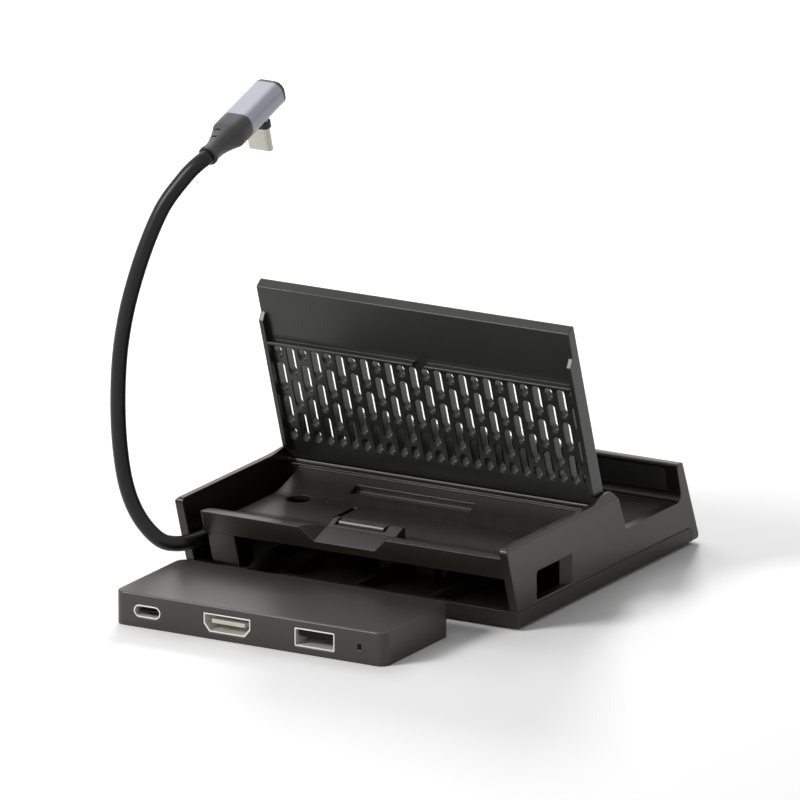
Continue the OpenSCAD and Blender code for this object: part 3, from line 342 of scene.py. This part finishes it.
@dataclass
class Studio:
    """Camera, lamps and floor.

    Attributes:
        place: The camera in the dock's own frame, in millimetres.
        yaw: Turn of the view to the left of +Y, in degrees.
        pitch: Tilt of the view below the horizon, in degrees.
        roll: Turn of the picture, in degrees.
        focal_px: Focal length in pixels of the 800 pixel picture.
        picture_px: Width of the picture in pixels.
        sensor: Width of the camera's sensor in millimetres.
        floor_size: Side of the floor in metres.
        floor_gap: Distance of the floor below the object in metres.
        lamp_distance: Distance of the lamps from the object in metres.
        air: Strength of the even light from the surroundings, where 1 is white.
        paper: The floor's colour to the background rays, just high enough for it to come out white.
        floor_colour: The floor's colour to all other rays, as an sRGB hex code.
    """

    place: Point = (2952.7, -5033.85, 1739.14)
    yaw: float = -30.2459
    pitch: float = -16.0095
    roll: float = -0.1922
    focal_px: float = 20000.0
    picture_px: float = 800.0
    sensor: float = 36.0
    floor_size: float = 14.0
    floor_gap: float = 0.0001
    lamp_distance: float = 1.5
    air: float = 0.24
    paper: float = 1.2
    floor_colour: str = "#f0f0f0"

    def camera(self, shift: FrameShift) -> None:
        """Makes the camera at the photograph's place and angle.

        Args:
            shift: The dock frame's place in the row's frame.
        """
        yaw, pitch, roll = (math.radians(a) for a in (self.yaw, self.pitch, self.roll))
        ahead = Vector((math.cos(pitch) * math.sin(yaw), math.cos(pitch) * math.cos(yaw), math.sin(pitch)))
        right = Vector((math.cos(yaw), -math.sin(yaw), 0))
        up = right.cross(ahead)
        across = right * math.cos(roll) + up * math.sin(roll)
        above = up * math.cos(roll) - right * math.sin(roll)
        data = bpy.data.cameras.new("camera")
        data.sensor_width = self.sensor
        data.lens = self.focal_px * self.sensor / self.picture_px
        data.clip_start, data.clip_end = 0.1, 100.0
        camera = bpy.data.objects.new("camera", data)
        turn = Matrix((across, above, -ahead)).transposed().to_4x4()
        camera.matrix_world = Matrix.Translation(shift.point(self.place)) @ turn
        bpy.context.scene.collection.objects.link(camera)
        bpy.context.scene.camera = camera

    def softbox(self, name: str, towards: Point, size: float, radiance: float) -> bpy.types.Object:
        """Adds a square soft lamp that faces the object.

        Args:
            name: The lamp's name.
            towards: Direction from the object to the lamp.
            size: Its side, in metres.
            radiance: Its brightness as a reflection shows it, where 1 is white.

        Returns:
            The lamp's object.
        """
        way = Vector(towards).normalized()
        data = bpy.data.lights.new(name, "AREA")
        data.size = size
        data.energy = radiance * math.pi * size ** 2
        lamp = bpy.data.objects.new(name, data)
        lamp.location = way * self.lamp_distance
        lamp.rotation_euler = (-way).to_track_quat("-Z", "Y").to_euler()
        bpy.context.scene.collection.objects.link(lamp)
        return lamp

    def background_rays(self, tree: bpy.types.NodeTree) -> bpy.types.Node:
        """Adds a switch that is 1 for the rays that show the background: camera, glossy and transmission.

        Args:
            tree: Node tree of the world or of the floor's material.

        Returns:
            The Math node whose first output carries the switch.
        """
        path = add_node(tree, "ShaderNodeLightPath")
        either = add_node(tree, "ShaderNodeMath", {"operation": "MAXIMUM"},
                          {0: path.outputs["Is Camera Ray"], 1: path.outputs["Is Glossy Ray"]})
        return add_node(tree, "ShaderNodeMath", {"operation": "MAXIMUM"},
                        {0: either.outputs[0], 1: path.outputs["Is Transmission Ray"]})

    def lamps(self) -> None:
        """Adds the soft lamps and the pale surroundings."""
        self.softbox("overhead_softbox", towards=(-0.48, 0.51, 0.71), size=1.3, radiance=1.3)
        self.softbox("key_softbox", towards=(-0.48, -0.71, 0.51), size=0.42, radiance=23.0)
        # Casts the shadow in front of the hub and to its right, without a glare on the flat tops
        back = self.softbox("back_softbox", towards=(-0.41, 0.78, 0.47), size=0.3, radiance=42.0)
        back.visible_glossy = False
        world = bpy.data.worlds.new("studio_air")
        bpy.context.scene.world = world
        world.use_nodes = True
        tree = world.node_tree
        tree.nodes.clear()
        any_ray = self.background_rays(tree)
        soft = add_node(tree, "ShaderNodeBackground", {"Color": (1, 1, 1, 1), "Strength": self.air})
        white = add_node(tree, "ShaderNodeBackground", {"Color": (1, 1, 1, 1), "Strength": 1.0})
        mix = add_node(tree, "ShaderNodeMixShader", {},
                       {0: any_ray.outputs[0], 1: soft.outputs[0], 2: white.outputs[0]})
        add_node(tree, "ShaderNodeOutputWorld", {}, {"Surface": mix.outputs[0]})

    def floor(self) -> None:
        """Lays the plain pale floor."""
        bpy.ops.mesh.primitive_plane_add(size=self.floor_size, location=(0, 0, -self.floor_gap))
        floor = bpy.context.active_object
        floor.name = "floor"
        material = bpy.data.materials.new("paper_white")
        material.use_nodes = True
        shader = material.node_tree.nodes["Principled BSDF"]
        tree = material.node_tree
        rays = self.background_rays(tree)
        paper = add_node(tree, "ShaderNodeMix", {"data_type": "RGBA"}, {0: rays.outputs[0]})
        paper.inputs[6].default_value = linear(self.floor_colour)
        paper.inputs[7].default_value = (self.paper, self.paper, self.paper, 1.0)
        tree.links.new(paper.outputs[2], shader.inputs["Base Color"])
        shader.inputs["Roughness"].default_value = 0.9
        shader.inputs["Specular IOR Level"].default_value = 0.0
        floor.data.materials.append(material)

    def build(self, shift: FrameShift) -> None:
        """Makes camera, lamps and floor, and sets the plain view transform.

        Args:
            shift: The dock frame's place in the row's frame.
        """
        self.camera(shift)
        self.lamps()
        self.floor()
        bpy.context.scene.view_settings.view_transform = "Standard"


@dataclass
class Lead:
    """The cable from the hub through the bay and up to the plug.

    Attributes:
        route: Points of its middle line in the dock's own frame, in millimetres.
        diameter: Diameter of the jacket.
        cuts: Stretches of the smooth line between two points of the route.
        plug_tilt: Rise of the plug at the far end in degrees.
    """

    route: list[Point] = field(default_factory=lambda: [
        (-31, -10.3, 6.2), (-31, -7, 6.6), (-31, -4, 7.6), (-31, 0, 8.6), (-31, 6, 8.8), (-31, 13, 9),
        (-32, 18, 9.3), (-34.8, 22.2, 9.8), (-39, 24.6, 10.5), (-44, 24.7, 11.3), (-48.5, 22.4, 12),
        (-51.4, 18.4, 12.7), (-52.6, 13, 13.2), (-52.7, 6, 13.5), (-52.7, 0, 13.7), (-52.8, -5, 13.9),
        (-54.2, -11, 14.2), (-58, -15, 15.6), (-63, -16.3, 20), (-67.2, -16.5, 26), (-70, -16.5, 33.5),
        (-71.6, -16.5, 43), (-72.3, -16.5, 53), (-72.2, -16.5, 64), (-71.4, -16.3, 75), (-69.7, -15.7, 86),
        (-67.3, -14.3, 97), (-64, -12, 109), (-60, -9, 120), (-55, -5, 128.5), (-52, -2.6, 132.4),
        PLUG_START])
    diameter: float = 4.8
    cuts: int = 6
    plug_tilt: float = PLUG_TILT

    def line(self, shift: FrameShift) -> list[Vector]:
        """Works out the smooth middle line.

        Args:
            shift: The dock frame's place in the row's frame.

        Returns:
            Points in the row's frame, in metres.
        """
        tilt = math.radians(self.plug_tilt)
        points = [shift.point(p) for p in self.route]
        step = self.diameter * MM
        before = points[0] - Vector((0, step, 0))
        after = points[-1] + Vector((0, math.cos(tilt), math.sin(tilt))) * step
        run = [before, *points, after]
        line = []
        for a, b, c, d in zip(run, run[1:], run[2:], run[3:]):
            for k in range(self.cuts):
                t = k / self.cuts
                line.append(0.5 * (2 * b + (c - a) * t + (2 * a - 5 * b + 4 * c - d) * t ** 2
                                   + (3 * b - a - 3 * c + d) * t ** 3))
        return [*line, points[-1]]

    def build(self, shift: FrameShift, wardrobe: Wardrobe, nodes: dict[str, bpy.types.Object],
              boot: bpy.types.Object) -> bpy.types.Object:
        """Args:
            shift: The dock frame's place in the row's frame.
            wardrobe: The materials.
            nodes: The frame's nodes by name; not used.
            boot: The boot on the cable's far end; not used.

        Returns:
            The cable's object.
        """
        line = self.line(shift)
        curve = bpy.data.curves.new("lead", "CURVE")
        curve.dimensions = "3D"
        spline = curve.splines.new("POLY")
        spline.points.add(len(line) - 1)
        for point, place in zip(spline.points, line):
            point.co = (*place, 1.0)
        curve.bevel_depth = self.diameter / 2 * MM
        curve.bevel_resolution = 10
        curve.use_fill_caps = True
        lead = bpy.data.objects.new("lead", curve)
        bpy.context.scene.collection.objects.link(lead)
        wardrobe.dress(lead, "jacket")
        spline.use_smooth = True
        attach(lead, ROOT)
        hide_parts("cable")
        return lead


@dataclass
class Boot:
    """The soft boot between the lead and the plug's sleeve, with the concave taper that the photograph shows.

    Lengths are in millimetres, along the plug from the end of the lead.

    Attributes:
        start: The lead's end in the dock's own frame.
        tilt: Rise of the plug in degrees.
        length: Length of the boot.
        width: Width of its full end.
        height: Height of its full end.
        corner: Corner radius of its full end.
        ring: Length of the ring at the lead.
        ring_edges: How many times its softened edge goes into the ring's length.
        ring_r: Radius of that ring.
        neck_r: Radius of the neck behind it.
        taper: Start and end of the taper.
        bend: Power of the taper, above 1 where it is concave.
        grooves: Places of the two short grooves.
        groove_size: Length, width and depth of the block that cuts a groove.
        groove_share: Place of its middle left of the boot's middle, as a share of the half width.
        spokes: Points round each ring of the boot.
        cuts: Rings along the taper.
        smooth: Steepest edge that is shaded smooth, in degrees.
    """

    start: Point = PLUG_START
    tilt: float = PLUG_TILT
    length: float = 19.0
    width: float = 10.5
    height: float = 8.2
    corner: float = 3.2
    ring: float = 1.4
    ring_edges: float = 5.0
    ring_r: float = 3.2
    neck_r: float = 2.9
    taper: tuple[float, float] = (3.5, 13.0)
    bend: float = 1.6
    grooves: tuple[float, float] = (6.8, 10.1)
    groove_size: Point = (3.4, 0.9, 1.6)
    groove_share: float = 0.55
    spokes: int = 48
    cuts: int = 12
    smooth: float = 40.0

    def share(self, s: float) -> float:
        """Works out how far the section has grown from the neck's circle to the full end.

        Args:
            s: Place along the boot.

        Returns:
            0 at the neck and 1 at the full end.
        """
        low, high = self.taper
        return min(1.0, max(0.0, (s - low) / (high - low))) ** self.bend

    def full_r(self, angle: float) -> float:
        """Measures the rounded full end from its middle.

        Args:
            angle: Direction in radians, 0 along X.

        Returns:
            Distance of its outline in that direction.
        """
        c, d = abs(math.cos(angle)), abs(math.sin(angle))
        a, b = self.width / 2, self.height / 2
        flat = min(a / c if c > TINY else math.inf, b / d if d > TINY else math.inf)
        mid_x, mid_z = a - self.corner, b - self.corner
        if flat * c <= mid_x or flat * d <= mid_z:
            return flat
        along = mid_x * c + mid_z * d
        return along + math.sqrt(max(0.0, along ** 2 - mid_x ** 2 - mid_z ** 2 + self.corner ** 2))

    def build(self, shift: FrameShift, wardrobe: Wardrobe) -> bpy.types.Object:
        """Makes the boot ring by ring and cuts its grooves.

        Args:
            shift: The dock frame's place in the row's frame.
            wardrobe: The materials.

        Returns:
            The boot's object.
        """
        edge = self.ring / self.ring_edges
        low, high = self.taper
        tapered = [low + (high - low) * k / self.cuts for k in range(self.cuts + 1)]
        rings = [(0.0, self.ring_r - edge), (edge, self.ring_r), (self.ring - edge, self.ring_r),
                 (self.ring, self.neck_r)]
        stations = [*rings, *((s, self.neck_r) for s in tapered), (self.length, self.neck_r)]
        bpy.ops.mesh.primitive_circle_add(vertices=self.spokes, radius=1.0, fill_type="NGON",
                                          location=(0, 0, 0))
        boot = bpy.context.active_object
        boot.name = "boot"
        bpy.ops.object.mode_set(mode="EDIT")
        for index, (s, radius) in enumerate(stations):
            if index:
                bpy.ops.mesh.extrude_region_move(TRANSFORM_OT_translate={"value": (0, MM, 0)})
            mesh = bmesh.from_edit_mesh(boot.data)
            grown = self.share(s)
            for vert in (v for v in mesh.verts if v.select):
                angle = math.atan2(vert.co.y, vert.co.x) if not index else math.atan2(vert.co.z, vert.co.x)
                r = radius + (self.full_r(angle) - self.neck_r) * grown
                vert.co = Vector((r * math.cos(angle), s, r * math.sin(angle))) * MM
            bmesh.update_edit_mesh(boot.data)
        bpy.ops.mesh.select_all(action="SELECT")
        bpy.ops.mesh.normals_make_consistent(inside=False)
        bpy.ops.object.mode_set(mode="OBJECT")
        for s in self.grooves:
            self.cut(boot, s)
        turn = Matrix.Rotation(math.radians(self.tilt), 4, "X")
        boot.data.transform(Matrix.Translation(shift.point(self.start)) @ turn)
        bpy.ops.object.shade_smooth_by_angle(angle=math.radians(self.smooth))
        wardrobe.dress(boot, "boot")
        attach(boot, ROOT)
        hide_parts("plug_boot")
        return boot

    def cut(self, boot: bpy.types.Object, s: float) -> None:
        """Cuts one short groove across the upper left of the boot.

        Args:
            boot: The boot, still along Y from the origin.
            s: Place of the groove along the boot.
        """
        grown = self.share(s)
        top = self.neck_r + (self.height / 2 - self.neck_r) * grown
        side = self.neck_r + (self.width / 2 - self.neck_r) * grown
        middle = (-side * self.groove_share * MM, s * MM, top * MM)
        bpy.ops.mesh.primitive_cube_add(size=MM, location=middle, scale=self.groove_size)
        tool = bpy.context.active_object
        bpy.ops.object.select_all(action="DESELECT")
        bpy.context.view_layer.objects.active = boot
        boot.select_set(True)
        groove = boot.modifiers.new("groove", "BOOLEAN")
        groove.operation, groove.object = "DIFFERENCE", tool
        bpy.ops.object.modifier_apply(modifier=groove.name)
        bpy.data.objects.remove(tool, do_unlink=True)


def main() -> None:
    """Loads the frame, dresses its nodes, and adds the pieces that only the looks have."""
    logging.basicConfig(level=logging.INFO, format="%(name)s: %(message)s")
    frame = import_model()
    bpy.ops.object.select_all(action="DESELECT")
    shift = FrameShift()
    wardrobe = Wardrobe()
    Studio().build(shift)
    for name, key in NODE_FINISH.items():
        wardrobe.dress(frame["nodes"][name], key)
        LOG.info("dressed %s as %s", name, FINISHES[key].name)
    boot = Boot().build(shift, wardrobe)
    Lead().build(shift, wardrobe, frame["nodes"], boot)


if __name__ == "__main__":
    main()
